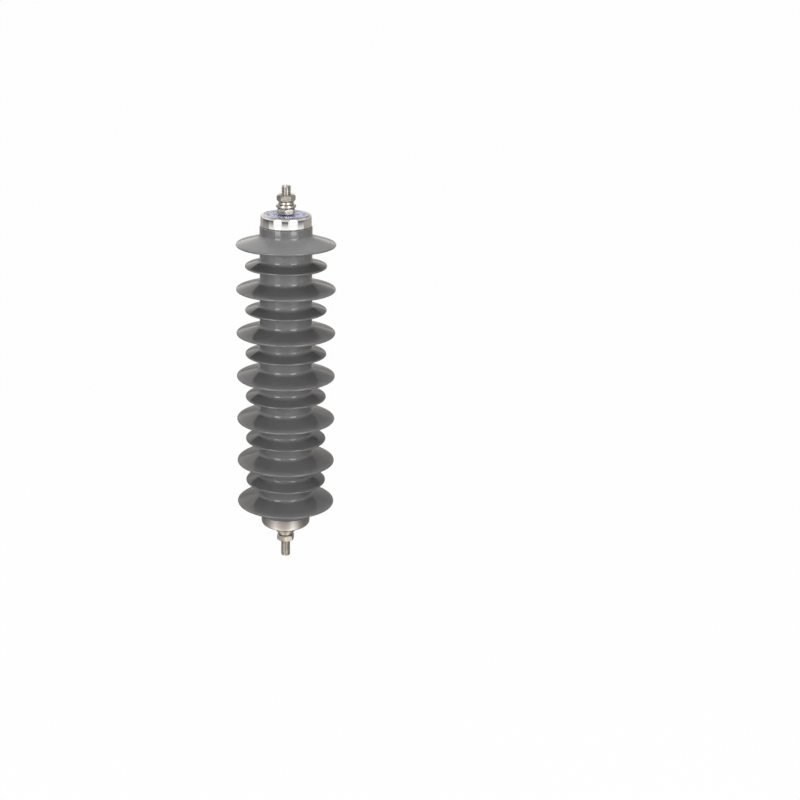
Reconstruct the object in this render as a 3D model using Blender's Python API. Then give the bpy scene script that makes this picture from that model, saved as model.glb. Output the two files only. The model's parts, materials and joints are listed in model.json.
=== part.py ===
"""Polymer-housed distribution surge arrester, standing on its axis.

Metres, +Z up along the axis.  The origin is on the axis, in the plane of the
lower end face of the body.  Every piece is a closed solid of its own, and
pieces that touch keep a small air gap to each other.
"""
import math

import bmesh
import bpy
from mathutils import Matrix, Vector


# Shared clearance and drafting values
gap = 0.0003
overrun = 0.002
merge_distance = 0.000001
housing_steps = 32
cap_steps = 32
core_steps = 24
thread_steps = 24
sharp_edge_deg = 32

# Body between its two end faces
body_height = 0.330

# Rubber housing with large and small sheds by turns
shed_count = 13
large_shed_radius = 0.0505
small_shed_radius = 0.0415
shed_edge_thickness = 0.0022
shed_slope_deg = 17
shed_root_fillet = 0.0032
shed_rim_steps = 2
shed_root_steps = 2
neck_wall = 0.0021
housing_step = 0.0010
lowest_shed_height = 0.0244
highest_shed_drop = 0.0291
small_shed_lift = 0.0009

# Glass-fibre tube that takes the load
tube_outer_radius = 0.0217
tube_wall = 0.0034

# End caps, drawn from sheet
cap_wall = 0.0012
line_cap_shoulder_radius = 0.0029
earth_cap_shoulder_radius = 0.0041
cap_inner_shoulder_radius = 0.0023
cap_rim_rise = 0.0020
cap_rim_inner_width = 0.0006
cap_skirt_drop = 0.0100
cap_shoulder_steps = 4

# Sealing rings under the caps
gasket_thickness = 0.0015
gasket_width = 0.008

# End electrodes
flange_thickness = 0.006
spigot_length = 0.020
stud_hole_depth = 0.019

# Zinc-oxide stack with its contact plates and disc springs
block_count = 11
contact_plate_thickness = 0.003
disc_spring_count = 4
disc_spring_thickness = 0.0009
disc_spring_cone = 0.0006
disc_spring_bore_radius = 0.0088

# Blank plate ring under the line nut
plate_ring_thickness = 0.0012

# M10 studs and what is on them
stud_radius = 0.0049
stud_chamfer = 0.0009
stud_thread_engagement = 0.016
line_stud_reach = 0.0306
earth_stud_reach = 0.0390
stud_slot_width = 0.0016
stud_slot_depth = 0.0026
nut_across_flats = 0.017
nut_chamfer_deg = 30
nut_face_share = 0.94
line_lock_nut_height = 0.0067
earth_lock_nut_height = 0.0075
terminal_nut_height = 0.0070
flat_washer_radius = 0.0100
flat_washer_thickness = 0.0025
spring_washer_radius = 0.0077
spring_washer_thickness = 0.0028
spring_washer_split = 0.0018

# How each nut happens to be turned on its stud
line_lock_nut_turn_deg = 38
line_terminal_nut_turn_deg = 0
earth_lock_nut_turn_deg = 30
earth_terminal_nut_turn_deg = 21
line_split_turn_deg = 40
earth_split_turn_deg = 150

# Sizes that follow from those above
tube_bore_radius = tube_outer_radius - tube_wall
block_radius = tube_bore_radius - gap
housing_bore_radius = tube_outer_radius + gap
neck_radius = housing_bore_radius + neck_wall
cap_bore_radius = neck_radius + gap
cap_radius = cap_bore_radius + cap_wall
housing_radius = cap_radius + housing_step
stud_hole_radius = stud_radius + gap
shed_pitch = (body_height - lowest_shed_height - highest_shed_drop) / (shed_count - 1)
gasket_top_drop = cap_wall + gap
flange_drop = gasket_top_drop + gasket_thickness + gap
tube_end_drop = flange_drop + flange_thickness + gap
spigot_end_drop = tube_end_drop + spigot_length
housing_shoulder_drop = cap_skirt_drop + gap


def surface(name, colour, roughness, metallic):
    """Plain Principled material in one colour."""
    made = bpy.data.materials.new(name)
    made.use_nodes = True
    shader = made.node_tree.nodes["Principled BSDF"]
    shader.inputs["Base Color"].default_value = (*colour, 1)
    shader.inputs["Roughness"].default_value = roughness
    shader.inputs["Metallic"].default_value = metallic
    made.diffuse_color = (*colour, 1)
    return made


def new_object(name, shape, material):
    """Turn a finished bmesh into one named object with its material."""
    bmesh.ops.recalc_face_normals(shape, faces=shape.faces[:])
    mesh = bpy.data.meshes.new(name)
    shape.to_mesh(mesh)
    shape.free()
    mesh.shade_smooth()
    mesh.set_sharp_from_angle(angle=math.radians(sharp_edge_deg))
    mesh.materials.append(material)
    made = bpy.data.objects.new(name, mesh)
    bpy.context.scene.collection.objects.link(made)
    return made


def arc(centre, radius, start_deg, end_deg, steps):
    """Points on an arc, as (distance from the axis, height)."""
    points = []
    for step in range(steps + 1):
        angle = math.radians(start_deg + (end_deg - start_deg) * step / steps)
        points.append((centre[0] + radius * math.cos(angle), centre[1] + radius * math.sin(angle)))
    return points


def turned(name, outline, steps, material):
    """Solid of revolution about Z from a closed outline."""
    shape = bmesh.new()
    corners = [shape.verts.new((radius, 0, height)) for radius, height in outline]
    for first, second in zip(corners, corners[1:] + corners[:1]):
        if first.co.x > 0 or second.co.x > 0:
            shape.edges.new((first, second))
    bmesh.ops.spin(shape, geom=shape.verts[:] + shape.edges[:], cent=(0, 0, 0), axis=(0, 0, 1),
                   angle=math.tau, steps=steps, use_merge=True)
    bmesh.ops.remove_doubles(shape, verts=shape.verts[:], dist=merge_distance)
    return new_object(name, shape, material)


def ring(name, inner_radius, outer_radius, thickness, steps, material):
    """Flat ring lying on its own origin."""
    outline = [(inner_radius, 0), (outer_radius, 0), (outer_radius, thickness), (inner_radius, thickness)]
    return turned(name, outline, steps, material)


def cutting_box(name, size, centre, owner):
    """Guide box that an owner's Boolean takes away."""
    shape = bmesh.new()
    bmesh.ops.create_cube(shape, size=1, matrix=Matrix.Translation(centre) @ Matrix.Diagonal((*size, 1)))
    cutter = new_object(name, shape, owner.data.materials[0])
    cutter.hide_render = True
    cutter.display_type = "WIRE"
    cutter.parent = owner
    cut = owner.modifiers.new(name, "BOOLEAN")
    cut.operation = "DIFFERENCE"
    cut.solver = "EXACT"
    cut.object = cutter


def place(piece, height, from_top, turn_deg=0):
    """Set a piece, drawn upright on its own origin, on one end of the body.

    The height is measured outwards from the end face.  At the lower end the
    piece is turned over about X, so that its own up points outwards there too.
    """
    if from_top:
        piece.location = (0, 0, body_height + height)
        piece.rotation_euler = (0, 0, math.radians(turn_deg))
    else:
        piece.location = (0, 0, -height)
        piece.rotation_euler = (math.pi, 0, math.radians(turn_deg))
    return piece


def shed_outline(plane, tip_radius):
    """One shed from its flat underside, round its rim and up to the core."""
    slope = math.radians(shed_slope_deg)
    half_edge = shed_edge_thickness / 2
    rim_centre = (tip_radius - half_edge, plane)
    fillet_radius_from_axis = housing_radius + shed_root_fillet
    fall = (rim_centre[0] - fillet_radius_from_axis) * math.tan(slope)
    fillet_height = plane + fall + (half_edge + shed_root_fillet) / math.cos(slope)
    points = [(housing_radius, plane - half_edge), (rim_centre[0], plane - half_edge)]
    points += arc(rim_centre, half_edge, 0, 90 - shed_slope_deg, shed_rim_steps)
    points += arc((fillet_radius_from_axis, fillet_height), shed_root_fillet,
                  270 - shed_slope_deg, 180, shed_root_steps)
    return points


def make_housing(rubber):
    """Rubber housing, moulded in one piece over the tube and the flanges."""
    top = body_height - flange_drop
    bottom = flange_drop
    upper_shoulder = body_height - housing_shoulder_drop
    lower_shoulder = housing_shoulder_drop
    outline = [(neck_radius, bottom), (neck_radius, lower_shoulder), (housing_radius, lower_shoulder)]
    for number in range(shed_count):
        plane = lowest_shed_height + number * shed_pitch
        if number % 2:
            outline += shed_outline(plane + small_shed_lift, small_shed_radius)
        else:
            outline += shed_outline(plane, large_shed_radius)
    outline += [(housing_radius, upper_shoulder), (neck_radius, upper_shoulder), (neck_radius, top),
                (housing_bore_radius, top), (housing_bore_radius, bottom)]
    turned("shed_housing", outline, housing_steps, rubber)


def make_tube(glass_fibre):
    """Glass-fibre tube from flange to flange."""
    length = body_height - 2 * tube_end_drop
    tube = ring("glass_fibre_tube", tube_bore_radius, tube_outer_radius, length, core_steps, glass_fibre)
    tube.location.z = tube_end_drop


def make_electrode(name, from_top, aluminium):
    """Flanged electrode with a spigot in the tube and a blind stud hole."""
    shoulder = -flange_thickness
    end = -(flange_thickness + gap + spigot_length)
    outline = [(0, end), (block_radius, end), (block_radius, shoulder), (tube_outer_radius, shoulder),
               (tube_outer_radius, 0), (stud_hole_radius, 0), (stud_hole_radius, -stud_hole_depth),
               (0, -stud_hole_depth)]
    place(turned(name, outline, core_steps, aluminium), -flange_drop, from_top)


def make_stack(zinc_oxide, aluminium, spring_steel):
    """Blocks between two contact plates, pressed together by disc springs."""
    def disc(name, bottom, height, material):
        outline = [(0, bottom), (block_radius, bottom), (block_radius, bottom + height), (0, bottom + height)]
        turned(name, outline, core_steps, material)

    disc_spring_pitch = disc_spring_thickness + disc_spring_cone + gap
    springs_height = disc_spring_count * disc_spring_pitch + gap
    stack_bottom = spigot_end_drop + gap
    stack_top = body_height - spigot_end_drop - springs_height
    blocks_bottom = stack_bottom + contact_plate_thickness + gap
    blocks_top = stack_top - contact_plate_thickness - gap
    block_pitch = (blocks_top - blocks_bottom + gap) / block_count
    disc("lower_contact_plate", stack_bottom, contact_plate_thickness, aluminium)
    for number in range(block_count):
        disc(f"zinc_oxide_block_{number + 1:02d}", blocks_bottom + number * block_pitch,
             block_pitch - gap, zinc_oxide)
    disc("upper_contact_plate", stack_top - contact_plate_thickness, contact_plate_thickness, aluminium)
    for number in range(disc_spring_count):
        bottom = stack_top + gap + number * disc_spring_pitch
        inner_lift = disc_spring_cone * (number % 2)
        outer_lift = disc_spring_cone - inner_lift
        outline = [(disc_spring_bore_radius, bottom + inner_lift), (block_radius, bottom + outer_lift),
                   (block_radius, bottom + outer_lift + disc_spring_thickness),
                   (disc_spring_bore_radius, bottom + inner_lift + disc_spring_thickness)]
        turned(f"disc_spring_{number + 1}", outline, core_steps, spring_steel)


def make_gasket(name, from_top, sealing_rubber):
    """Sealing ring between the flange and the cap."""
    gasket = ring(name, tube_outer_radius - gasket_width, tube_outer_radius, gasket_thickness,
                  core_steps, sealing_rubber)
    place(gasket, -gasket_top_drop - gasket_thickness, from_top)


def cap_face_radius(shoulder_radius):
    """Radius of a cap's sunk face, inside its rolled rim."""
    return cap_radius - shoulder_radius - cap_rim_inner_width


def make_cap(name, shoulder_radius, from_top, steel):
    """Drawn cap with a rolled rim round its sunk face and a plain skirt."""
    shoulder_centre = (cap_radius - shoulder_radius, cap_rim_rise - shoulder_radius)
    inner_centre = (cap_bore_radius - cap_inner_shoulder_radius, -cap_wall - cap_inner_shoulder_radius)
    outline = [(stud_hole_radius, 0), (cap_face_radius(shoulder_radius), 0)]
    outline += arc(shoulder_centre, shoulder_radius, 90, 0, cap_shoulder_steps)
    outline += [(cap_radius, -cap_skirt_drop), (cap_bore_radius, -cap_skirt_drop)]
    outline += arc(inner_centre, cap_inner_shoulder_radius, 0, 90, cap_shoulder_steps // 2)
    outline.append((stud_hole_radius, -cap_wall))
    place(turned(name, outline, cap_steps, steel), 0, from_top)


def make_stud(name, reach, from_top, steel):
    """Stud with chamfered ends and a driver slot in its outer end."""
    inner_end = -(flange_drop + stud_thread_engagement)
    outline = [(0, inner_end), (stud_radius - stud_chamfer, inner_end), (stud_radius, inner_end + stud_chamfer),
               (stud_radius, reach - stud_chamfer), (stud_radius - stud_chamfer, reach), (0, reach)]
    stud = place(turned(name, outline, thread_steps, steel), 0, from_top)
    slot_length = 2 * (stud_radius + overrun)
    slot_height = stud_slot_depth + overrun
    slot_centre = Vector((0, 0, reach - stud_slot_depth + slot_height / 2))
    cutting_box(f"{name}_slot", (stud_slot_width, slot_length, slot_height), slot_centre, stud)


def make_nut(name, height, bottom, turn_deg, from_top, steel):
    """Hexagon nut, chamfered on both faces, with a flat towards -Y at no turn."""
    half_flats = nut_across_flats / 2
    face_radius = half_flats * nut_face_share
    fall_per_radius = math.tan(math.radians(nut_chamfer_deg))
    shape = bmesh.new()
    columns = []
    for step in range(thread_steps):
        angle = math.tau * step / thread_steps
        from_mid_flat = (angle + math.pi / 6) % (math.pi / 3) - math.pi / 6
        side_radius = half_flats / math.cos(from_mid_flat)
        fall = (side_radius - face_radius) * fall_per_radius
        section = [(stud_hole_radius, 0), (face_radius, 0), (side_radius, fall), (side_radius, height - fall),
                   (face_radius, height), (stud_hole_radius, height)]
        heading = angle - math.pi / 2
        columns.append([shape.verts.new((radius * math.cos(heading), radius * math.sin(heading), level))
                        for radius, level in section])
    for left, right in zip(columns, columns[1:] + columns[:1]):
        for low, high in zip(range(len(left)), list(range(1, len(left))) + [0]):
            shape.faces.new((left[low], right[low], right[high], left[high]))
    place(new_object(name, shape, steel), bottom, from_top, turn_deg)


def make_spring_washer(name, bottom, turn_deg, from_top, steel):
    """Spring washer pressed flat, with its split left open."""
    split_angle = spring_washer_split / spring_washer_radius
    section = [(stud_hole_radius, 0), (spring_washer_radius, 0), (spring_washer_radius, spring_washer_thickness),
               (stud_hole_radius, spring_washer_thickness)]
    shape = bmesh.new()
    face = shape.faces.new([shape.verts.new((radius, 0, level)) for radius, level in section])
    bmesh.ops.spin(shape, geom=[face], cent=(0, 0, 0), axis=(0, 0, 1),
                   angle=math.tau - split_angle, steps=thread_steps)
    place(new_object(name, shape, steel), bottom, from_top, turn_deg)


def make_terminal(end, reach, seat, lock_height, lock_turn_deg, split_turn_deg, nut_turn_deg,
                  from_top, steel):
    """Stud of one end with its lock nut, washers and terminal nut."""
    make_stud(f"{end}_stud", reach, from_top, steel)
    height = seat + gap
    make_nut(f"{end}_lock_nut", lock_height, height, lock_turn_deg, from_top, steel)
    height += lock_height + gap
    place(ring(f"{end}_flat_washer", stud_hole_radius, flat_washer_radius, flat_washer_thickness,
               thread_steps, steel), height, from_top)
    height += flat_washer_thickness + gap
    make_spring_washer(f"{end}_spring_washer", height, split_turn_deg, from_top, steel)
    height += spring_washer_thickness + gap
    make_nut(f"{end}_terminal_nut", terminal_nut_height, height, nut_turn_deg, from_top, steel)


def main():
    for item in list(bpy.data.objects):
        bpy.data.objects.remove(item, do_unlink=True)

    rubber = surface("grey_silicone_rubber", (0.155, 0.150, 0.146), 0.42, 0)
    glass_fibre = surface("glass_fibre_resin", (0.62, 0.58, 0.38), 0.45, 0)
    aluminium = surface("turned_aluminium", (0.72, 0.72, 0.73), 0.35, 1)
    zinc_oxide = surface("zinc_oxide_ceramic", (0.09, 0.09, 0.10), 0.6, 0)
    spring_steel = surface("spring_steel", (0.35, 0.35, 0.36), 0.4, 1)
    sealing_rubber = surface("black_sealing_rubber", (0.02, 0.02, 0.02), 0.7, 0)
    cap_steel = surface("polished_cap_steel", (0.66, 0.64, 0.61), 0.16, 1)
    plate_enamel = surface("blue_plate_enamel", (0.30, 0.31, 0.55), 0.35, 0)
    nut_steel = surface("bright_nut_steel", (0.56, 0.54, 0.50), 0.28, 1)

    make_housing(rubber)
    make_tube(glass_fibre)
    make_stack(zinc_oxide, aluminium, spring_steel)
    for end, shoulder_radius, from_top in (("line", line_cap_shoulder_radius, True),
                                           ("earth", earth_cap_shoulder_radius, False)):
        make_electrode(f"{end}_electrode", from_top, aluminium)
        make_gasket(f"{end}_gasket", from_top, sealing_rubber)
        make_cap(f"{end}_cap", shoulder_radius, from_top, cap_steel)

    plate_ring = ring("blank_plate_ring", stud_hole_radius, cap_face_radius(line_cap_shoulder_radius) - gap,
                      plate_ring_thickness, cap_steps, plate_enamel)
    place(plate_ring, gap, True)
    make_terminal("line", line_stud_reach, gap + plate_ring_thickness, line_lock_nut_height,
                  line_lock_nut_turn_deg, line_split_turn_deg, line_terminal_nut_turn_deg, True, nut_steel)
    make_terminal("earth", earth_stud_reach, 0, earth_lock_nut_height,
                  earth_lock_nut_turn_deg, earth_split_turn_deg, earth_terminal_nut_turn_deg, False, nut_steel)


if __name__ == "__main__":
    main()
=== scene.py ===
"""Finished look of a polymer-housed surge arrester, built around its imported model.

Metres, +Z up along the axis, with the origin in the plane of the lower end
face.  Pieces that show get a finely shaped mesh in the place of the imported
solid, and the pieces inside keep their solids and get a finish.
"""
import json
import math

import bmesh
import bpy
from bpy.props import FloatProperty, FloatVectorProperty, IntProperty, PointerProperty
from mathutils import Matrix, Vector


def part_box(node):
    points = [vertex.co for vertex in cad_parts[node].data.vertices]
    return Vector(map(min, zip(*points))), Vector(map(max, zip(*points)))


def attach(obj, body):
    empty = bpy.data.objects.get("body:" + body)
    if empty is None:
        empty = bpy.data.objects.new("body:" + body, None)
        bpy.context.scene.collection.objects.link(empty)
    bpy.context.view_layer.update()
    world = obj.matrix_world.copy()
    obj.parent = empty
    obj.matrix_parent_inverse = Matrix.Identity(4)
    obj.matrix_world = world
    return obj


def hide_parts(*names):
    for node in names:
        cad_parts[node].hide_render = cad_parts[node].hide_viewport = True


bl_info = {
    "name": "Surge arrester look",
    "version": (1, 0, 0),
    "blender": (4, 5, 0),
    "location": "3D View > Sidebar > Arrester",
    "description": "Builds the finished look of a distribution surge arrester around its packed model",
    "category": "Add Mesh",
}

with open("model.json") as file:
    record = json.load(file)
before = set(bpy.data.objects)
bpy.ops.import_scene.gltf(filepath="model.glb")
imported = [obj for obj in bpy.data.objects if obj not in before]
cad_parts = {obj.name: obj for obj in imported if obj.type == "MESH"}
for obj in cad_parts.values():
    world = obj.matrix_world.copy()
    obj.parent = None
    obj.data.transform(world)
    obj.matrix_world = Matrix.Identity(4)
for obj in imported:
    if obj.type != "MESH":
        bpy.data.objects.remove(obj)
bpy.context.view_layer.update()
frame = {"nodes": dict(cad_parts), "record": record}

MERGE_DISTANCE = 0.000001
FRONT_HEADING = -math.pi / 2
WHITE = (1, 1, 1, 1)

# Faces round the turned and formed pieces
PLATE_COLUMNS = 144
NUT_COLUMNS = 120
WASHER_COLUMNS = 96
ROD_COLUMNS = 48

# Distances from the axis, heights and glow of the cards that gloss mirrors, and of the room behind them
CARD_REACH = 1.15
CARD_TOP = 1.25
CARD_STEPS = 16
CARD_GLOW = 1.45
LOW_CARD_TOP = 0.39
TABLE_REACH = 1.2
TABLE_TOP = 0.30
STRIPE_REACH = 0.72
STRIPE_WIDTH_DEG = 24
LOW_STRIPE_GLOW = 1.9
TONE_TOP = 1.3
ROOM_GLOW = 1.57

# Grey of the pale room that gloss mirrors, by the sine of the angle upwards: before the object, and
# behind it to its left and right
ROOM_FRONT = ((0.0, 0.64), (0.62, 0.64), (0.70, 0.36), (0.95, 0.33))
ROOM_LEFT = ((0.0, 0.55), (0.15, 0.76), (0.20, 0.80), (0.25, 0.70), (0.30, 0.61), (0.36, 0.53), (0.6, 0.48),
             (0.76, 0.38), (0.84, 0.18), (0.95, 0.12))
ROOM_RIGHT = ((0.0, 0.45), (0.15, 0.64), (0.19, 0.66), (0.22, 0.52), (0.25, 0.42), (0.30, 0.32), (0.36, 0.26),
              (0.6, 0.28), (0.76, 0.30), (0.84, 0.15), (0.95, 0.10))

# Where the room goes over from left to right and from front to back, in parts of a direction of length one
LEFT_TO_RIGHT = (-0.08, 0.10)
FRONT_TO_BACK = (0.1, 0.4)

# Grey by height of what the cap's wall mirrors: a dark band over a bright table
BAND_DEEP = ((0.0, 0.35), (0.07, 0.29), (0.11, 0.25), (0.136, 0.21), (0.17, 0.14), (0.20, 0.05), (0.25, 0.02),
             (0.265, 0.70), (1.2, 0.70))
BAND_SOFT = ((0.0, 0.97), (0.09, 0.90), (0.116, 0.72), (0.145, 0.54), (0.175, 0.38), (0.202, 0.20),
             (0.228, 0.03), (0.257, 0.02), (0.268, 0.70), (1.2, 0.70))
BAND_SIDE = ((0.0, 0.33), (0.19, 0.33), (0.225, 0.05), (0.257, 0.03), (0.268, 0.60), (1.2, 0.60))

# How far the floor reaches, how much of it shows as plain white, and what the lower cap mirrors of it: its
# glow from near to far, and its grey by heading in degrees from the front. That glow and grey are painted
# light: pools of lamp light on the floor, brightest near the object and at the lamps' headings, and painted
# shadow behind the object.
FLOOR_RADIUS = 60
FLOOR_WHITE = 0.985
FLOOR_NEAR, FLOOR_FAR = 0.06, 0.16
FLOOR_NEAR_GLOW, FLOOR_FAR_GLOW = 1.45, 0.6
FLOOR_PAINTED_POOLS = ((-180, 0.14), (-107, 0.16), (-75, 0.30), (-46, 0.74), (-20, 0.48), (0, 0.42), (14, 0.52),
              (30, 0.88), (42, 0.68), (65, 0.27), (89, 0.15), (180, 0.16))


def length(text, default, about):
    """Length setting in metres."""
    return FloatProperty(name=text, description=about, default=default, min=0, precision=5,
                         unit="LENGTH", subtype="DISTANCE")


def turn(text, default_deg, about):
    """Angle setting."""
    return FloatProperty(name=text, description=about, default=math.radians(default_deg),
                         unit="ROTATION", subtype="ANGLE")


def colour(text, default, about):
    """Colour setting, linear."""
    return FloatVectorProperty(name=text, description=about, default=default, size=3, min=0, max=1,
                               subtype="COLOR")


def share(text, default, about):
    """Setting from nought to one."""
    return FloatProperty(name=text, description=about, default=default, min=0, max=1, subtype="FACTOR")


class HousingSettings(bpy.types.PropertyGroup):
    """Sizes and finish of the moulded rubber housing."""

    shed_count: IntProperty(name="Sheds", description="Large and small sheds together", default=13, min=1)
    large_radius: length("Large shed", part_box("shed_housing")[1].x, "Radius of a large shed")
    small_radius: length("Small shed", 0.0415, "Radius of a small shed")
    core_radius: length("Core", 0.0266, "Radius of the core between the sheds")
    neck_radius: length("Neck", 0.0241, "Radius of the neck inside each cap")
    bore_radius: length("Bore", 0.0220, "Radius of the bore round the tube")
    shoulder_drop: length("Shoulder", 0.0103, "Distance from an end face to the housing's shoulder")
    shoulder_round: length("Shoulder edge", 0.0006, "Rounding of the shoulder's edge")
    lowest_shed: length("Lowest shed", 0.0244, "Height of the lowest shed's rim")
    highest_shed: length("Highest shed", 0.3009, "Height of the highest shed's rim")
    small_lift: length("Small shed lift", 0.0009, "How far a small shed sits above the middle of its gap")
    edge_thickness: length("Rim thickness", 0.0022, "Thickness of a shed at its rim")
    top_slope: turn("Top slope", 17, "Slope of a shed's top")
    under_slope: turn("Underside slope", 2, "Slope of a shed's underside")
    root_fillet: length("Root fillet", 0.0042, "Fillet between a shed's top and the core")
    under_fillet: length("Underside fillet", 0.0016, "Fillet between a shed's underside and the core")
    sway: length("Sway", 0.00015, "How far the soft rims rise and fall")
    lean: length("Lean", 0.00012, "How far the right side of each rim hangs lower")
    parting_heading: turn("Parting line", -24.5, "Where the mould's parting line runs, from the front")
    parting_height: length("Parting ridge", 0.00013, "Height of the ridge on the parting line")
    rubber_low: colour("Rubber, dark", (0.136, 0.135, 0.136), "Darker tone of the rubber")
    rubber_high: colour("Rubber, light", (0.156, 0.154, 0.155), "Lighter tone of the rubber")
    roughness: share("Roughness", 0.10, "Middle roughness of the moulded skin")
    columns: IntProperty(name="Columns", description="Faces round the housing", default=160, min=24)


class CapSettings(bpy.types.PropertyGroup):
    """Sizes and finish of the two drawn steel caps."""

    rim_rise: length("Rim rise", 0.0020, "Height of the rolled rim over the sunk face")
    wall: length("Wall", 0.0012, "Thickness of the sheet")
    wall_radius: length("Wall radius", 0.0257, "Outer radius of the wall where it is widest")
    taper: turn("Taper", 4.0, "Slope of the wall under the shoulder")
    undercut: turn("Undercut", 1.5, "Slope back inwards at the wall's open edge")
    bore_radius: length("Bore", 0.0244, "Inner radius of the wall")
    hole_radius: length("Hole", 0.0052, "Radius of the hole for the stud")
    line_shoulder: length("Line shoulder", 0.0029, "Rounding of the line cap's shoulder")
    earth_shoulder: length("Earth shoulder", 0.0041, "Rounding of the earth cap's shoulder")
    lip: length("Lip", 0.0006, "Width of the rim's inner slope")
    steel: colour("Steel", (0.72, 0.70, 0.67), "Polished steel")
    earth_steel: colour("Earth steel", (0.66, 0.62, 0.57), "Steel of the lower cap")
    roughness: share("Roughness", 0.08, "Roughness of the polish")
    columns: IntProperty(name="Columns", description="Faces round a cap", default=144, min=24)


class PlateSettings(bpy.types.PropertyGroup):
    """Sizes and finish of the printed plate ring."""

    border: length("Border", 0.0010, "Width of the bare metal at each edge")
    fields: IntProperty(name="Fields", description="Coloured fields round the plate", default=6, min=1)
    bars: IntProperty(name="Bars", description="Plain bars round the plate", default=44, min=1)
    enamel: colour("Enamel", (0.17, 0.18, 0.40), "Colour of the fields")
    metal: colour("Metal", (0.60, 0.60, 0.67), "Bare metal between the fields")
    roughness: share("Roughness", 0.30, "Roughness of the plate")


class FastenerSettings(bpy.types.PropertyGroup):
    """Sizes and finish of the studs, nuts and washers."""

    thread_pitch: length("Thread pitch", 0.0015, "Distance from thread to thread")
    thread_depth: length("Thread depth", 0.00085, "Depth of the thread")
    slot_width: length("Slot width", 0.0016, "Width of the slot in a stud's end")
    slot_depth: length("Slot depth", 0.0026, "Depth of the slot in a stud's end")
    line_slot_turn: turn("Line slot", 8, "How the line stud's slot is turned")
    earth_slot_turn: turn("Earth slot", -14, "How the earth stud's slot is turned")
    across_flats: length("Across flats", 0.017, "Size of the nuts")
    bore_radius: length("Nut bore", 0.0052, "Radius of the bores on the stud")
    chamfer_slope: turn("Chamfer", 40, "Slope of a nut's chamfer")
    face_share: share("Face", 0.91, "Radius of a nut's face against its half width")
    corner_share: share("Corner", 0.965, "How much of a nut's corner is left after rounding")
    edge_round: length("Edge", 0.00035, "Rounding of the washers' edges")
    line_lock_turn: turn("Line lock nut", 24, "How the nut is turned")
    line_terminal_turn: turn("Line terminal nut", 0, "How the nut is turned")
    earth_lock_turn: turn("Earth lock nut", 30, "How the nut is turned")
    earth_terminal_turn: turn("Earth terminal nut", 21, "How the nut is turned")
    line_split_turn: turn("Line washer split", 33, "Heading of the spring washer's split")
    earth_split_turn: turn("Earth washer split", 157, "Heading of the spring washer's split")
    split_width: length("Split", 0.0018, "Width of the spring washer's split")
    steel: colour("Steel", (0.54, 0.51, 0.46), "Nickel-plated steel")
    shade: colour("Shade", (0.42, 0.39, 0.34), "Duller tone of the plating")
    roughness: share("Roughness", 0.22, "Middle roughness of the plating")


class InsideSettings(bpy.types.PropertyGroup):
    """Finish of the pieces inside the housing."""

    fibre: colour("Glass fibre", (0.62, 0.58, 0.38), "Wound glass fibre in resin")
    aluminium: colour("Aluminium", (0.72, 0.72, 0.73), "Turned electrodes and plates")
    ceramic: colour("Ceramic", (0.09, 0.09, 0.10), "Sintered zinc-oxide blocks")
    spring: colour("Spring steel", (0.35, 0.35, 0.36), "Disc springs")
    gasket: colour("Gasket", (0.02, 0.02, 0.02), "Sealing rings")


class StageSettings(bpy.types.PropertyGroup):
    """Camera, lamps, floor and the cards that polished steel mirrors."""

    lens: FloatProperty(name="Lens", description="Focal length in millimetres", default=63.94, min=1)
    shift_x: FloatProperty(name="Shift X", description="Sideways shift of the picture", default=0.1427)
    shift_y: FloatProperty(name="Shift Y", description="Upward shift of the picture", default=-0.049)
    distance: length("Distance", 1.397, "How far in front of the axis the camera stands")
    height: length("Height", 0.6096, "How high the camera stands over the lower end face")
    pitch: turn("Pitch", 17.147, "How far the camera looks down")
    roll: turn("Roll", 0.09, "How far the camera is turned about its own line of sight")
    key_power: FloatProperty(name="Key lamps", description="Power of each front lamp", default=2.8, min=0,
                             unit="POWER")
    key_distance: length("Key distance", 0.70, "Distance from the axis to each front lamp")
    key_height: length("Key height", 0.32, "Height of each front lamp's middle")
    right_heading: turn("Right lamp", 33, "How far the right lamp stands to the side")
    left_heading: turn("Left lamp", 35.5, "How far the left lamp stands to the side")
    top_power: FloatProperty(name="Top lamp", description="Power of the lamp overhead", default=11.5, min=0,
                             unit="POWER")
    ambient_front: FloatProperty(name="Ambient, front", description="Light all round from the front",
                                 default=0.20, min=0)
    ambient_back: FloatProperty(name="Ambient, back", description="Light all round from behind",
                                default=0.42, min=0)
    stripe_glow: FloatProperty(name="Lamp glow", description="How bright the lamps show in gloss",
                               default=6.0, min=0)
    floor_glow: FloatProperty(name="Floor glow", description="How bright the floor shows in gloss",
                              default=1.4, min=0)
    floor_gap: length("Floor gap", 0.0006, "Air between the lower stud and the floor")


class ArresterSettings(bpy.types.PropertyGroup):
    """All settings of the arrester."""

    housing: PointerProperty(type=HousingSettings)
    cap: PointerProperty(type=CapSettings)
    plate: PointerProperty(type=PlateSettings)
    fastener: PointerProperty(type=FastenerSettings)
    inside: PointerProperty(type=InsideSettings)
    stage: PointerProperty(type=StageSettings)


def loft(columns, round_and_round=True):
    """Mesh through closed columns of points, side by side; an open one gets two end faces."""
    shape = bmesh.new()
    rows = [[shape.verts.new(point) for point in column] for column in columns]
    neighbours = list(zip(rows, rows[1:]))
    if round_and_round:
        neighbours.append((rows[-1], rows[0]))
    else:
        shape.faces.new(rows[0])
        shape.faces.new(rows[-1])
    for left, right in neighbours:
        for low in range(len(left)):
            high = (low + 1) % len(left)
            shape.faces.new((left[low], right[low], right[high], left[high]))
    return shape


def turned(outline, columns):
    """Mesh of revolution about Z from a closed outline of (radius, height)."""
    headings = [math.tau * step / columns for step in range(columns)]
    return loft([[(radius * math.cos(heading), radius * math.sin(heading), height)
                  for radius, height in outline] for heading in headings])


def arc(centre, radius, start, end, steps):
    """Points on an arc in the plane of (radius, height), with angles in radians."""
    points = []
    for step in range(steps + 1):
        angle = start + (end - start) * step / steps
        points.append((centre[0] + radius * math.cos(angle), centre[1] + radius * math.sin(angle)))
    return points


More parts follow.
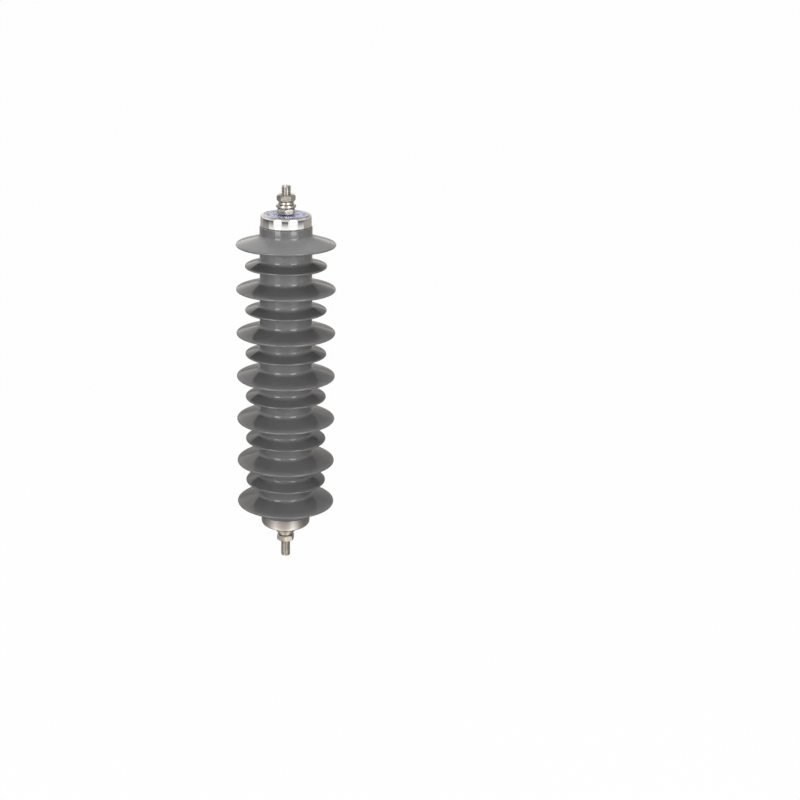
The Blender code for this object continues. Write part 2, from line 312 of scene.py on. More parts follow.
def placed(name, shape, material):
    """Object from a finished bmesh, linked to the scene."""
    mesh = bpy.data.meshes.new(name)
    shape.to_mesh(mesh)
    shape.free()
    mesh.materials.append(material)
    item = bpy.data.objects.new(name, mesh)
    bpy.context.scene.collection.objects.link(item)
    return item


def finished_piece(name, shape, material, nodes, sharp_deg=32):
    """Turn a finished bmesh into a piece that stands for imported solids."""
    bmesh.ops.recalc_face_normals(shape, faces=shape.faces[:])
    piece = placed(name, shape, material)
    piece.data.shade_smooth()
    piece.data.set_sharp_from_angle(angle=math.radians(sharp_deg))
    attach(piece, "root")
    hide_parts(*nodes)
    return piece


def wired(tree, kind, links=(), **values):
    """Add a node, set its sockets by name and link others to it."""
    made = tree.nodes.new(kind)
    for name, value in values.items():
        made.inputs[name.replace("_", " ")].default_value = value
    for socket, source in links:
        tree.links.new(source, made.inputs[socket])
    return made


def math_node(tree, operation, first, second=None):
    """Math node on one or two values, each a socket or a number."""
    made = tree.nodes.new("ShaderNodeMath")
    made.operation = operation
    for socket, value in zip(made.inputs, (first, second)):
        if isinstance(value, bpy.types.NodeSocket):
            tree.links.new(value, socket)
        elif value is not None:
            socket.default_value = value
    return made.outputs["Value"]


def mapped(tree, value, start, end, low=0.0, high=1.0):
    """Value mapped from start..end to low..high."""
    made = wired(tree, "ShaderNodeMapRange", [("Value", value)], From_Min=start, From_Max=end, To_Min=low,
                 To_Max=high)
    return made.outputs["Result"]


def colour_ramp(tree, value, stops):
    """Colours along a value, from (position, colour) stops."""
    made = wired(tree, "ShaderNodeValToRGB", [("Fac", value)])
    elements = made.color_ramp.elements
    while len(elements) < len(stops):
        elements.new(0.5)
    for element, (position, tint) in zip(elements, stops):
        element.position = position
        element.color = (*tint, 1)
    return made.outputs["Color"]


def colour_mix(tree, factor, first, second):
    """Colour between two, each a socket or a colour."""
    made = tree.nodes.new("ShaderNodeMix")
    made.data_type = "RGBA"
    for socket, value in ((0, factor), (6, first), (7, second)):
        if isinstance(value, bpy.types.NodeSocket):
            tree.links.new(value, made.inputs[socket])
        else:
            made.inputs[socket].default_value = (*value, 1)
    return made.outputs[2]


class Finish:
    """Node material built up step by step on one Principled shader."""

    def __init__(self, name, base, roughness, metallic=0.0):
        self.material = bpy.data.materials.new(name)
        self.material.use_nodes = True
        self.material.diffuse_color = (*base, 1)
        self.tree = self.material.node_tree
        self.shader = self.tree.nodes["Principled BSDF"]
        self.shader.inputs["Base Color"].default_value = (*base, 1)
        self.shader.inputs["Roughness"].default_value = roughness
        self.shader.inputs["Metallic"].default_value = metallic
        self.place = self.tree.nodes.new("ShaderNodeTexCoord").outputs["Object"]

    def noise(self, scale, detail=2.0, stretch=None):
        """Noise over the object in metres, stretched by axis."""
        source = self.place
        if stretch is not None:
            made = wired(self.tree, "ShaderNodeMapping", [("Vector", source)], Scale=stretch)
            source = made.outputs["Vector"]
        made = wired(self.tree, "ShaderNodeTexNoise", [("Vector", source)], Scale=scale, Detail=detail)
        return made.outputs["Fac"]

    def ramp(self, value, stops):
        """Colours along a value, from (position, colour) stops."""
        return colour_ramp(self.tree, value, stops)

    def spread(self, value, low, high, start=0.3, end=0.7):
        """Value of a noise mapped to low..high."""
        return mapped(self.tree, value, start, end, low, high)

    def drive(self, socket, value):
        """Link a value or colour to a socket of the shader."""
        self.tree.links.new(value, self.shader.inputs[socket])

    def bump(self, height, strength, distance):
        """Relief finer than the mesh."""
        made = wired(self.tree, "ShaderNodeBump", [("Height", height)], Strength=strength, Distance=distance)
        self.drive("Normal", made.outputs["Normal"])


def moulded_rubber(sizes):
    """Grey silicone rubber with a satin moulded skin, faint clouds and a fine grain."""
    finish = Finish("moulded_silicone_rubber", sizes.rubber_high, sizes.roughness)
    clouds = finish.noise(38, 4)
    grain = finish.noise(1500, 2)
    tone = finish.ramp(clouds, [(0.32, sizes.rubber_low), (0.68, sizes.rubber_high)])
    speck = finish.spread(grain, 0.0, 0.35, 0.55, 0.8)
    pale = tuple(value * 1.35 for value in sizes.rubber_high)
    finish.drive("Base Color", colour_mix(finish.tree, speck, tone, pale))
    finish.drive("Roughness", finish.spread(finish.noise(160, 3), sizes.roughness - 0.03,
                                            sizes.roughness + 0.04))
    finish.bump(finish.noise(700, 3), 0.06, 0.0001)
    return finish.material


def polished_steel(name, tint, roughness):
    """Drawn and polished steel with faint rings from the spinning lathe."""
    finish = Finish(name, tint, roughness, 1.0)
    rings = finish.noise(60, 3, (1, 1, 40))
    dull = tuple(value * 0.93 for value in tint)
    finish.drive("Base Color", finish.ramp(finish.noise(90, 3), [(0.35, dull), (0.65, tint)]))
    finish.drive("Roughness", finish.spread(rings, roughness * 0.7, roughness * 1.4))
    finish.bump(rings, 0.05, 0.00005)
    return finish.material


def plated_steel(sizes):
    """Nickel-plated fastener steel, slightly uneven in tone and gloss."""
    finish = Finish("nickel_plated_steel", sizes.steel, sizes.roughness, 1.0)
    patches = finish.noise(260, 4)
    finish.drive("Base Color", finish.ramp(patches, [(0.35, sizes.shade), (0.6, sizes.steel)]))
    finish.drive("Roughness", finish.spread(finish.noise(700, 3), sizes.roughness - 0.06,
                                            sizes.roughness + 0.08))
    finish.bump(finish.noise(1800, 2), 0.1, 0.00004)
    return finish.material


def enamelled_plate(sizes, inner_radius, outer_radius):
    """Blue fields and plain bars on a bare metal ring."""
    finish = Finish("enamelled_plate", sizes.enamel, sizes.roughness, 0.35)
    across, along, _ = wired(finish.tree, "ShaderNodeSeparateXYZ", [("Vector", finish.place)]).outputs

    def calculated(operation, first, second=None):
        """Result of an operation on one value or two."""
        return math_node(finish.tree, operation, first, second)

    radius = calculated("SQRT", calculated("ADD", calculated("MULTIPLY", across, across),
                                           calculated("MULTIPLY", along, along)))
    heading = calculated("ARCTAN2", along, across)

    def band(low, high):
        """One inside a ring between two radii, nought outside."""
        return calculated("MULTIPLY", calculated("GREATER_THAN", radius, low),
                          calculated("LESS_THAN", radius, high))

    def spokes(count, width):
        """One in each of a number of sectors round the plate."""
        wave = calculated("COSINE", calculated("MULTIPLY", heading, float(count)))
        return calculated("GREATER_THAN", wave, math.cos(math.pi * width))

    depth = outer_radius - inner_radius
    field = calculated("MULTIPLY", band(inner_radius + depth * 0.22, outer_radius - sizes.border),
                       spokes(sizes.fields, 0.93))
    bars = calculated("MULTIPLY", band(inner_radius + depth * 0.52, inner_radius + depth * 0.70),
                      spokes(sizes.bars, 0.42))
    line = band(outer_radius - 2.2 * sizes.border, outer_radius - 1.8 * sizes.border)
    plain = calculated("MINIMUM", calculated("ADD", bars, line), 1.0)
    printed = calculated("MULTIPLY", field, calculated("SUBTRACT", 1.0, plain))
    uneven = finish.noise(420, 3)
    shade = tuple(value * 0.85 for value in sizes.enamel)
    enamel = finish.ramp(uneven, [(0.35, shade), (0.65, sizes.enamel)])
    finish.drive("Base Color", colour_mix(finish.tree, printed, sizes.metal, enamel))
    finish.drive("Roughness", finish.spread(uneven, sizes.roughness - 0.08, sizes.roughness + 0.08))
    finish.bump(printed, 0.4, 0.00003)
    return finish.material


def shed_points(plane, tip_radius, sizes):
    """One shed from the core below it, round its rim and back up to the core."""
    half = sizes.edge_thickness / 2
    rim = tip_radius - half
    under, top = sizes.under_slope, sizes.top_slope
    low_centre_radius = sizes.core_radius + sizes.under_fillet
    low_line = plane - half / math.cos(under) + (rim - low_centre_radius) * math.tan(under)
    low_centre = (low_centre_radius, low_line - sizes.under_fillet / math.cos(under))
    high_centre_radius = sizes.core_radius + sizes.root_fillet
    high_line = plane + half / math.cos(top) + (rim - high_centre_radius) * math.tan(top)
    high_centre = (high_centre_radius, high_line + sizes.root_fillet / math.cos(top))
    underside = arc(low_centre, sizes.under_fillet, math.pi, math.pi / 2 - under, 4)
    edge = arc((rim, plane), half, -math.pi / 2 - under, math.pi / 2 - top, 8)
    root = arc(high_centre, sizes.root_fillet, 1.5 * math.pi - top, math.pi, 10)

    def between(first, last, count):
        """Points inside a straight line, without its ends."""
        (radius, height), (end_radius, end_height) = first, last
        return [(radius + (end_radius - radius) * step / count,
                 height + (end_height - height) * step / count) for step in range(1, count)]

    return underside + between(underside[-1], edge[0], 3) + edge + between(edge[-1], root[0], 5) + root


def housing_outline(sizes, bottom, top):
    """Closed outline of the housing, with each point's shed and its share of that shed's reach."""
    shoulder_low = sizes.shoulder_drop
    shoulder_high = bottom + top - sizes.shoulder_drop
    corner = sizes.shoulder_round
    rim = sizes.core_radius - corner
    pitch = (sizes.highest_shed - sizes.lowest_shed) / (sizes.shed_count - 1)
    plain = [(sizes.neck_radius, bottom), (sizes.neck_radius, shoulder_low)]
    plain += arc((rim, shoulder_low + corner), corner, -math.pi / 2, 0, 4)
    outline = [(point, 0, 0.0) for point in plain]
    for number in range(sizes.shed_count):
        small = number % 2 == 1
        tip = sizes.small_radius if small else sizes.large_radius
        plane = sizes.lowest_shed + number * pitch + (sizes.small_lift if small else 0)
        for point in shed_points(plane, tip, sizes):
            outline.append((point, number, (point[0] - sizes.core_radius) / (tip - sizes.core_radius)))
    plain = arc((rim, shoulder_high - corner), corner, 0, math.pi / 2, 4)
    plain += [(sizes.neck_radius, shoulder_high), (sizes.neck_radius, top)]
    outline += [(point, 0, 0.0) for point in plain]
    outline += [((sizes.bore_radius, top), 0, 0.0), ((sizes.bore_radius, bottom), 0, 0.0)]
    return outline


class ARRESTER_OT_housing(bpy.types.Operator):
    """Mould the rubber housing with its sheds, root fillets and parting line"""

    bl_idname = "arrester.housing"
    bl_label = "Rubber housing"

    def execute(self, context):
        sizes = context.scene.arrester.housing
        low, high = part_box("shed_housing")
        outline = housing_outline(sizes, low.z, high.z)
        count = len(outline)
        directions = []
        for index in range(count):
            before, after = outline[index - 1][0], outline[(index + 1) % count][0]
            across = Vector((after[1] - before[1], before[0] - after[0])).normalized()
            inside = outline[index][0][0] < sizes.core_radius - 2 * sizes.shoulder_round
            directions.append(Vector((0, 0)) if inside else across)

        ridge = math.radians(0.45)
        partings = [FRONT_HEADING + sizes.parting_heading, FRONT_HEADING + sizes.parting_heading + math.pi]
        step = math.tau / sizes.columns
        headings = []
        for parting in partings:
            headings += [parting + offset * ridge for offset in (-2, -1, 0, 1, 2)]
            headings += [parting + step * number for number in range(1, sizes.columns // 2)]
        headings.sort()
        columns = []
        for heading in headings:
            offset = min(abs(math.remainder(heading - parting, math.tau)) for parting in partings)
            height = sizes.parting_height * max(0.0, 1 - offset / (2 * ridge))
            column = []
            for (point, number, reach), direction in zip(outline, directions):
                sway = sizes.sway * math.sin((2 + number % 2) * heading + 2.4 * number)
                sway = (sway - sizes.lean * math.cos(heading)) * reach * reach
                radius = point[0] + direction.x * height
                column.append((radius * math.cos(heading), radius * math.sin(heading),
                               point[1] + direction.y * height + sway))
            columns.append(column)
        finished_piece("moulded_housing", loft(columns), moulded_rubber(sizes),
                       ["shed_housing"], 40)
        return {"FINISHED"}


def cap_outline(sizes, shoulder, drop):
    """Closed outline of a cap, with heights outwards from its sunk face."""
    foot = -drop
    start = sizes.rim_rise - shoulder * (1 - math.sin(sizes.taper))
    depth = start - foot
    fall = math.tan(sizes.taper)
    turning = fall + math.tan(sizes.undercut)
    widening = depth * fall * fall / turning / 2
    centre = (sizes.wall_radius - widening - shoulder * math.cos(sizes.taper), sizes.rim_rise - shoulder)
    face_edge = centre[0] - sizes.lip
    inner = shoulder * 0.55
    inner_centre = (sizes.bore_radius - inner, -sizes.wall - inner)
    edge_round, burr, wall_steps = 0.0003, 0.0002, 16
    points = [(sizes.hole_radius, 0), (face_edge - edge_round, 0), (face_edge, 0.00006)]
    points += [(face_edge + sizes.lip * 0.3, sizes.rim_rise * 0.55),
               (face_edge + sizes.lip * 0.6, sizes.rim_rise * 0.88)]
    points += arc(centre, shoulder, math.pi / 2, sizes.taper, 18)
    for part in range(1, wall_steps):
        along = part / wall_steps
        radius = sizes.wall_radius - widening + depth * along * (fall - turning * along / 2)
        points.append((radius, start - depth * along))
    edge = sizes.wall_radius - widening + depth * (fall - turning / 2)
    points += arc((edge - edge_round, foot + edge_round), edge_round, 0, -math.pi / 2, 3)
    points += [(sizes.bore_radius + burr, foot), (sizes.bore_radius, foot + burr)]
    points += arc(inner_centre, inner, 0, math.pi / 2, 6)
    points.append((sizes.hole_radius, -sizes.wall))
    return points


class ARRESTER_OT_caps(bpy.types.Operator):
    """Draw the two steel end caps with their rolled rims and lightly tapered walls"""

    bl_idname = "arrester.caps"
    bl_label = "End caps"

    def execute(self, context):
        sizes = context.scene.arrester.cap
        low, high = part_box("line_cap")
        face = high.z - sizes.rim_rise
        outline = cap_outline(sizes, sizes.line_shoulder, face - low.z)
        shape = turned([(radius, face + height) for radius, height in outline], sizes.columns)
        steel = polished_steel("polished_line_cap", sizes.steel, sizes.roughness)
        finished_piece("drawn_line_cap", shape, steel, ["line_cap"], 40)

        low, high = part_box("earth_cap")
        face = low.z + sizes.rim_rise
        outline = cap_outline(sizes, sizes.earth_shoulder, high.z - face)
        shape = turned([(radius, face - height) for radius, height in outline], sizes.columns)
        steel = polished_steel("polished_earth_cap", sizes.earth_steel, sizes.roughness * 2)
        finished_piece("drawn_earth_cap", shape, steel, ["earth_cap"], 40)
        return {"FINISHED"}


class ARRESTER_OT_plate(bpy.types.Operator):
    """Lay the printed plate ring on the line cap's face"""

    bl_idname = "arrester.plate"
    bl_label = "Plate ring"

    def execute(self, context):
        settings = context.scene.arrester
        sizes = settings.plate
        low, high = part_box("blank_plate_ring")
        inner, outer = settings.fastener.bore_radius, high.x
        edge = 0.00012
        bare = outer - sizes.border
        outline = [(inner, low.z), (outer - edge, low.z), (outer, low.z + edge), (outer, high.z - edge),
                   (outer - edge, high.z), (bare, high.z), (bare - edge, high.z - edge),
                   (inner + edge, high.z - edge), (inner, high.z - 2 * edge)]
        finished_piece("printed_plate_ring", turned(outline, PLATE_COLUMNS),
                       enamelled_plate(sizes, inner, outer), ["blank_plate_ring"])
        return {"FINISHED"}


def threaded_rod(radius, low, high, sizes):
    """Rod with one right-handed thread along all of it and a chamfer at each end."""
    profile = [(0.0, 0.92), (0.125, 1.0), (0.25, 0.92), (0.55, 0.05), (0.625, 0.0), (0.70, 0.05)]
    turns = math.ceil((high - low) / sizes.thread_pitch) + 3
    tip_inset = 0.0001
    tip_radius = radius - sizes.thread_depth - tip_inset
    shape = bmesh.new()
    rows = []
    for column in range(ROD_COLUMNS):
        heading = math.tau * column / ROD_COLUMNS
        row = []
        for number in range(turns):
            for phase, cut in profile:
                height = low + sizes.thread_pitch * (number - 1 + phase + column / ROD_COLUMNS)
                height = min(max(height, low), high)
                limit = tip_radius + min(height - low, high - height)
                reach = min(radius - sizes.thread_depth * cut, limit)
                row.append(shape.verts.new((reach * math.cos(heading), reach * math.sin(heading), height)))
        rows.append(row)
    steps = len(profile)
    last = len(rows[0]) - 1
    for column in range(ROD_COLUMNS):
        left, right = rows[column], rows[(column + 1) % ROD_COLUMNS]
        lift = steps if column == ROD_COLUMNS - 1 else 0
        for index in range(last - lift):
            shape.faces.new((left[index], right[index + lift], right[index + lift + 1], left[index + 1]))
    bmesh.ops.remove_doubles(shape, verts=shape.verts[:], dist=MERGE_DISTANCE)
    open_edges = [edge for edge in shape.edges if len(edge.link_faces) == 1]
    bmesh.ops.holes_fill(shape, edges=open_edges, sides=0)
    return shape


def cut_box(piece, size, centre, heading):
    """Take a box away from a piece for good."""
    shape = bmesh.new()
    matrix = Matrix.Translation(centre) @ Matrix.Rotation(heading, 4, "Z") @ Matrix.Diagonal((*size, 1))
    bmesh.ops.create_cube(shape, size=1, matrix=matrix)
    cutter = placed("slot_cutter", shape, piece.data.materials[0])
    cut = piece.modifiers.new("slot", "BOOLEAN")
    cut.operation = "DIFFERENCE"
    cut.object = cutter
    bpy.context.view_layer.update()
    baked = bpy.data.meshes.new_from_object(piece.evaluated_get(bpy.context.evaluated_depsgraph_get()))
    piece.modifiers.clear()
    plain = piece.data
    piece.data = baked
    baked.name = plain.name
    bpy.data.meshes.remove(plain)
    bpy.data.objects.remove(cutter, do_unlink=True)
    baked.set_sharp_from_angle(angle=math.radians(28))


class ARRESTER_OT_studs(bpy.types.Operator):
    """Thread the two studs and slot their outer ends"""

    bl_idname = "arrester.studs"
    bl_label = "Studs"

    def execute(self, context):
        sizes = context.scene.arrester.fastener
        steel = plated_steel(sizes)
        for end, heading in (("line", sizes.line_slot_turn), ("earth", sizes.earth_slot_turn)):
            node = f"{end}_stud"
            low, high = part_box(node)
            radius = high.x
            shape = threaded_rod(radius, low.z, high.z, sizes)
            piece = finished_piece(f"threaded_{node}", shape, steel, [node], 28)
            tip = high.z if end == "line" else low.z
            size = (sizes.slot_width, 4 * radius, 2 * sizes.slot_depth)
            cut_box(piece, size, Vector((0, 0, tip)), heading)
        return {"FINISHED"}


def nut_shape(low, high, turned_by, sizes):
    """Hexagon nut, chamfered on both faces and countersunk at its bore."""
    half = sizes.across_flats / 2
    face = half * sizes.face_share
    corner = half / math.cos(math.pi / 6) * sizes.corner_share
    sink = 0.0004
    slope = math.tan(sizes.chamfer_slope)
    columns = []
    for step in range(NUT_COLUMNS):
        heading = math.tau * step / NUT_COLUMNS
        off_middle = (heading + math.pi / 6) % (math.pi / 3) - math.pi / 6
        side = min(half / math.cos(off_middle), corner)
        fall = (side - face) * slope
        bore = sizes.bore_radius
        section = [(bore, low + sink), (bore + sink, low), (face, low), (side, low + fall),
                   (side, high - fall), (face, high), (bore + sink, high), (bore, high - sink)]
        angle = heading + FRONT_HEADING + turned_by
        columns.append([(radius * math.cos(angle), radius * math.sin(angle), level)
                        for radius, level in section])
    return loft(columns)


class ARRESTER_OT_nuts(bpy.types.Operator):
    """Form the lock nuts and terminal nuts"""

    bl_idname = "arrester.nuts"
    bl_label = "Nuts"

    def execute(self, context):
        sizes = context.scene.arrester.fastener
        steel = plated_steel(sizes)
        for node, turned_by in (("line_lock_nut", sizes.line_lock_turn),
                                ("line_terminal_nut", sizes.line_terminal_turn),
                                ("earth_lock_nut", sizes.earth_lock_turn),
                                ("earth_terminal_nut", sizes.earth_terminal_turn)):
            low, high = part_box(node)
            finished_piece(f"formed_{node}", nut_shape(low.z, high.z, turned_by, sizes), steel,
                           [node], 16)
        return {"FINISHED"}


def rounded_section(inner, outer, low, high, radius):
    """Closed ring section with rounded corners."""
    points = arc((inner + radius, low + radius), radius, math.pi, 1.5 * math.pi, 4)
    points += arc((outer - radius, low + radius), radius, -math.pi / 2, 0, 4)
    points += arc((outer - radius, high - radius), radius, 0, math.pi / 2, 4)
    points += arc((inner + radius, high - radius), radius, math.pi / 2, math.pi, 4)
    return points


class ARRESTER_OT_washers(bpy.types.Operator):
    """Stamp the flat washers and coil the spring washers"""

    bl_idname = "arrester.washers"
    bl_label = "Washers"

    def execute(self, context):
        sizes = context.scene.arrester.fastener
        steel = plated_steel(sizes)
        for end, split_heading in (("line", sizes.line_split_turn), ("earth", sizes.earth_split_turn)):
            node = f"{end}_flat_washer"
            low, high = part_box(node)
            section = rounded_section(sizes.bore_radius, high.x, low.z, high.z, sizes.edge_round)
            shape = turned(section, WASHER_COLUMNS)
            finished_piece(f"stamped_{node}", shape, steel, [node])

            node = f"{end}_spring_washer"
            low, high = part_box(node)
            outer = high.x
            section = rounded_section(sizes.bore_radius, outer, low.z, high.z, sizes.edge_round)
            half_split = sizes.split_width / outer / 2
            spring = 0.00012
            columns = []
            for step in range(WASHER_COLUMNS + 1):
                part = step / WASHER_COLUMNS
                heading = split_heading + half_split + (math.tau - 2 * half_split) * part
                twist = spring * (1 - 2 * part)
                columns.append([(radius * math.cos(heading), radius * math.sin(heading), level + twist)
                                for radius, level in section])
            finished_piece(f"coiled_{node}", loft(columns, False), steel, [node])
        return {"FINISHED"}


def inside_finishes(sizes):
    """Finish for each slot whose solids stay as they are packed."""
    fibre = Finish("wound_glass_fibre", sizes.fibre, 0.42)
    wave = wired(fibre.tree, "ShaderNodeTexWave", [("Vector", fibre.place)], Scale=160, Distortion=3)
    wave.bands_direction = "DIAGONAL"
    dark = tuple(value * 0.7 for value in sizes.fibre)
    fibre.drive("Base Color", fibre.ramp(wave.outputs["Fac"], [(0.3, dark), (0.7, sizes.fibre)]))
    fibre.bump(wave.outputs["Fac"], 0.3, 0.0001)

    metal = Finish("turned_aluminium", sizes.aluminium, 0.32, 1.0)
    rings = metal.noise(50, 2, (1, 1, 60))
    metal.drive("Roughness", metal.spread(rings, 0.24, 0.42))
    metal.bump(rings, 0.15, 0.00005)

    block = Finish("sintered_zinc_oxide", sizes.ceramic, 0.6)
    grain = block.noise(1200, 3)
    light = tuple(value * 1.5 for value in sizes.ceramic)
    block.drive("Base Color", block.ramp(grain, [(0.4, sizes.ceramic), (0.75, light)]))
    block.bump(grain, 0.2, 0.0001)

    spring = Finish("oiled_spring_steel", sizes.spring, 0.4, 1.0)
    patches = spring.noise(300, 3)
    spring.drive("Roughness", spring.spread(patches, 0.3, 0.5))

    gasket = Finish("black_sealing_rubber", sizes.gasket, 0.7)
    skin = gasket.noise(1500, 3)
    gasket.drive("Roughness", gasket.spread(skin, 0.6, 0.8))
    gasket.bump(skin, 0.2, 0.0001)
    return {"tube_resin": fibre, "electrode_metal": metal, "block_ceramic": block,
            "spring_metal": spring, "gasket_rubber": gasket}


class ARRESTER_OT_inside(bpy.types.Operator):
    """Finish the tube, electrodes, blocks, springs and gaskets inside the housing"""

    bl_idname = "arrester.inside"
    bl_label = "Pieces inside"

    def execute(self, context):
        finishes = inside_finishes(context.scene.arrester.inside)
        for entry in frame["record"]["subparts"]:
            finish = finishes.get(entry["material_slot"])
            if finish is None:
                continue
            solid = frame["nodes"][entry["node"]]
            for place in solid.material_slots:
                place.material = finish.material
        return {"FINISHED"}


def tones(tree, value, low, high, stops):
    """Colours along a value from low to high, from (value, colour) stops."""
    shares = [((position - low) / (high - low), tint) for position, tint in stops]
    return colour_ramp(tree, mapped(tree, value, low, high), shares)


def warm_greys(stops, warmth=0.03):
    """Colours of a list of (value, grey) stops, slightly warmer than grey."""
    return [(value, (grey, grey * (1 - warmth), grey * (1 - 2 * warmth))) for value, grey in stops]


def shader_mix(tree, factor, first, second):
    """Shader between those of two nodes."""
    return wired(tree, "ShaderNodeMixShader",
                 [("Fac", factor), (1, first.outputs[0]), (2, second.outputs[0])])


def mirrored_ray(tree):
    """One where a reflection or a ray through glass meets the surface."""
    path = tree.nodes.new("ShaderNodeLightPath")
    return math_node(tree, "MAXIMUM", path.outputs["Is Glossy Ray"], path.outputs["Is Transmission Ray"])


def camera_ray(tree):
    """One where the camera sees the surface."""
    return tree.nodes.new("ShaderNodeLightPath").outputs["Is Camera Ray"]


def bare_material(name):
    """New material and its empty node tree."""
    made = bpy.data.materials.new(name)
    made.use_nodes = True
    made.node_tree.nodes.clear()
    return made, made.node_tree


def studio_world(sizes):
    """White behind the object, a pale graded room in its gloss and an even light on it."""
    world = bpy.data.worlds.new("studio")
    bpy.context.scene.world = world
    world.use_nodes = True
    tree = world.node_tree
    tree.nodes.clear()
    direction = tree.nodes.new("ShaderNodeTexCoord").outputs["Generated"]
    across, along, up = wired(tree, "ShaderNodeSeparateXYZ", [("Vector", direction)]).outputs
    front, left, right = [tones(tree, up, -0.1, 1.0, warm_greys(stops))
                          for stops in (ROOM_FRONT, ROOM_LEFT, ROOM_RIGHT)]
    back = colour_mix(tree, mapped(tree, across, *LEFT_TO_RIGHT), left, right)
    room = colour_mix(tree, mapped(tree, along, *FRONT_TO_BACK), front, back)
    facing = mapped(tree, along, -1, 1, sizes.ambient_front, sizes.ambient_back)
    rising = mapped(tree, up, -0.1, 0.8, 0.78, 1.35)
    mirrored = wired(tree, "ShaderNodeBackground", [("Color", room)], Strength=ROOM_GLOW)
    even = wired(tree, "ShaderNodeBackground", [("Strength", math_node(tree, "MULTIPLY", facing, rising))],
                 Color=WHITE)
    seen = wired(tree, "ShaderNodeBackground", Color=WHITE)
    lit = shader_mix(tree, mirrored_ray(tree), even, mirrored)
    whole = shader_mix(tree, camera_ray(tree), lit, seen)
    wired(tree, "ShaderNodeOutputWorld", [("Surface", whole.outputs["Shader"])])


def floor_material(sizes):
    """Pale floor that shows nearly white and keeps a soft shadow; in gloss it shows painted pools of lamp
    light, brightest near the object, and painted shadow behind it.
    """
    made, tree = bare_material("pale_floor")
    place = tree.nodes.new("ShaderNodeTexCoord").outputs["Object"]
    across, along, _ = wired(tree, "ShaderNodeSeparateXYZ", [("Vector", place)]).outputs
    heading = math_node(tree, "ARCTAN2", across, math_node(tree, "MULTIPLY", along, -1.0))
    # Painted light seen only in gloss: pools of lamp light by heading and painted shadow behind the object,
    # glowing brighter near the object
    ring = [(math.radians(value), grey) for value, grey in FLOOR_PAINTED_POOLS]
    reach = wired(tree, "ShaderNodeVectorMath", [(0, place)])
    reach.operation = "LENGTH"
    painted_pool_strength = mapped(tree, reach.outputs["Value"], FLOOR_NEAR, FLOOR_FAR, FLOOR_NEAR_GLOW * sizes.floor_glow,
                    FLOOR_FAR_GLOW * sizes.floor_glow)
    tone = tones(tree, heading, -math.pi, math.pi, warm_greys(ring))
    glow = wired(tree, "ShaderNodeEmission", [("Color", tone), ("Strength", painted_pool_strength)])
    matt = wired(tree, "ShaderNodeBsdfDiffuse", Color=(0.40, 0.39, 0.38, 1))
    white = wired(tree, "ShaderNodeEmission", Color=WHITE)
    lit = shader_mix(tree, mirrored_ray(tree), matt, glow)
    shown = math_node(tree, "MULTIPLY", camera_ray(tree), FLOOR_WHITE)
    whole = shader_mix(tree, shown, lit, white)
    wired(tree, "ShaderNodeOutputMaterial", [("Surface", whole.outputs["Shader"])])
    return made


def card(name, start_deg, end_deg, low, high, stops, reach=CARD_REACH, warmth=0.0, strength=CARD_GLOW):
    """Curved card round the object that only glossy surfaces mirror, with tones by height."""
    made, tree = bare_material(name)
    place = tree.nodes.new("ShaderNodeTexCoord").outputs["Object"]
    height = wired(tree, "ShaderNodeSeparateXYZ", [("Vector", place)]).outputs["Z"]
    tone = tones(tree, height, 0.0, TONE_TOP, warm_greys(stops, warmth))
    glow = wired(tree, "ShaderNodeEmission", [("Color", tone)], Strength=strength)
    wired(tree, "ShaderNodeOutputMaterial", [("Surface", glow.outputs["Emission"])])
    shape = bmesh.new()
    rows = []
    for step in range(CARD_STEPS + 1):
        heading = FRONT_HEADING + math.radians(start_deg + (end_deg - start_deg) * step / CARD_STEPS)
        rows.append([shape.verts.new((reach * math.cos(heading), reach * math.sin(heading), level))
                     for level in (low, high)])
    for left, right in zip(rows, rows[1:]):
        shape.faces.new((left[0], right[0], right[1], left[1]))
    piece = placed(name, shape, made)
    piece.visible_camera = False
    piece.visible_diffuse = False
    piece.visible_transmission = False
    piece.visible_volume_scatter = False
    piece.visible_shadow = False


def lamp(name, place, target, width, height, power, shape="RECTANGLE"):
    """Soft lamp aimed at a point, left out of reflections as the cards stand for it there."""
    light = bpy.data.lights.new(name, "AREA")
    light.shape = shape
    light.size = width
    light.size_y = height
    light.energy = power
    item = bpy.data.objects.new(name, light)
    item.location = place
    item.rotation_euler = (Vector(target) - Vector(place)).to_track_quat("-Z", "Y").to_euler()
    item.visible_camera = False
    item.visible_glossy = False
    bpy.context.scene.collection.objects.link(item)


